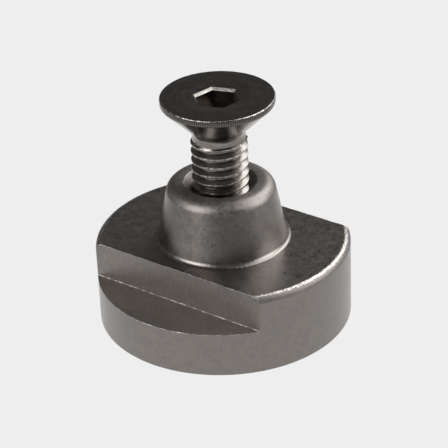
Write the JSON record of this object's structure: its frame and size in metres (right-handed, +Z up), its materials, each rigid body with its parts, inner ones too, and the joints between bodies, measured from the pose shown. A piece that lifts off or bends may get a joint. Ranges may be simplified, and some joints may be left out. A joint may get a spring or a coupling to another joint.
{
  "type": "slot nut with countersunk screw",
  "caption": "Round slot nut with a flat-sided tenon and conical pilot boss, holding a countersunk socket screw that pulls a tool post down onto a slotted slide.",
  "frame": {"origin": "centre of the nut's flat underside", "axes": "+Z up along the screw; +X along the slot the nut slides in; the tenon's two flats face -Y and +Y"},
  "size_m": [0.027, 0.027, 0.0252],
  "materials": {
    "nut_steel": "dark satin steel, finely blasted, with bright worn edges",
    "screw_steel": "dark oiled alloy steel, with turning rings on the head"
  },
  "bodies": {
    "nut": {"slot_nut": "nut_steel"},
    "screw": {"clamp_screw": "screw_steel"}
  },
  "joints": [
    {"name": "screw_travel", "type": "slide", "parent": "nut", "child": "screw", "axis": [0, 0, 1], "range_m": [-0.007, 0.004]}
  ]
}
